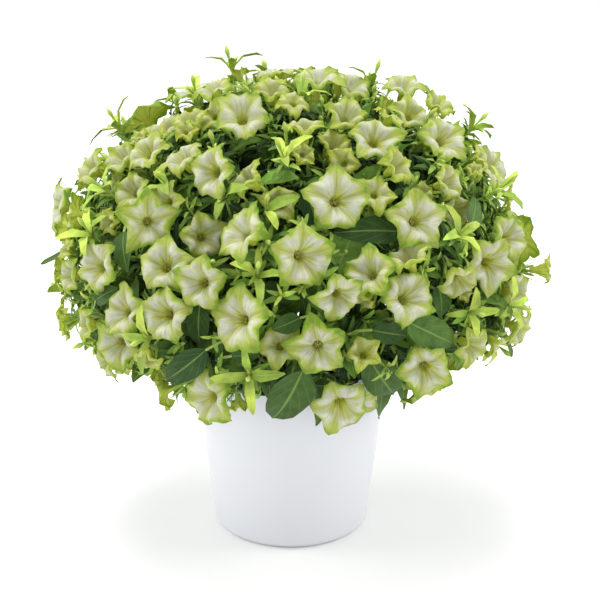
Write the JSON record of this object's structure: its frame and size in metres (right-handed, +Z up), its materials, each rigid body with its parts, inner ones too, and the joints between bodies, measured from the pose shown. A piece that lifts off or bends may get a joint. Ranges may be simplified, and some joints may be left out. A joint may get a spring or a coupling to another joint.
{
  "type": "potted petunia",
  "caption": "Bushy petunia in full bloom, with white and lime-green five-lobed trumpet flowers, in a plain white tapered round pot that stands on its base.",
  "frame": {"origin": "middle of the underside of the pot's flat base", "axes": "+Z up along the pot's axis, +X to the right and -Y towards the viewer of the picture"},
  "size_m": [0.5012, 0.491, 0.483],
  "materials": {
    "pot": "satin",
    "soil": "matte",
    "greenery": "satin",
    "petals": "matte"
  },
  "bodies": {
    "root": {"pot": "pot", "soil": "soil", "shoot_01": "greenery", "blooms_01": "petals", "shoot_02": "greenery", "blooms_02": "petals", "shoot_03": "greenery", "blooms_03": "petals", "shoot_04": "greenery", "blooms_04": "petals", "shoot_05": "greenery", "blooms_05": "petals", "shoot_06": "greenery", "blooms_06": "petals", "shoot_07": "greenery", "blooms_07": "petals", "shoot_08": "greenery", "blooms_08": "petals", "shoot_09": "greenery", "blooms_09": "petals", "shoot_10": "greenery", "blooms_10": "petals", "shoot_11": "greenery", "blooms_11": "petals", "shoot_12": "greenery", "blooms_12": "petals", "shoot_13": "greenery", "blooms_13": "petals", "shoot_14": "greenery", "blooms_14": "petals", "shoot_15": "greenery", "blooms_15": "petals", "shoot_16": "greenery", "blooms_16": "petals", "shoot_17": "greenery", "blooms_17": "petals", "shoot_18": "greenery", "blooms_18": "petals", "shoot_19": "greenery", "blooms_19": "petals", "shoot_20": "greenery", "blooms_20": "petals", "shoot_21": "greenery", "blooms_21": "petals", "shoot_22": "greenery", "blooms_22": "petals", "shoot_23": "greenery", "blooms_23": "petals", "shoot_24": "greenery", "blooms_24": "petals", "shoot_25": "greenery", "blooms_25": "petals", "shoot_26": "greenery", "blooms_26": "petals", "shoot_27": "greenery", "blooms_27": "petals", "shoot_28": "greenery", "blooms_28": "petals"}
  },
  "joints": []
}
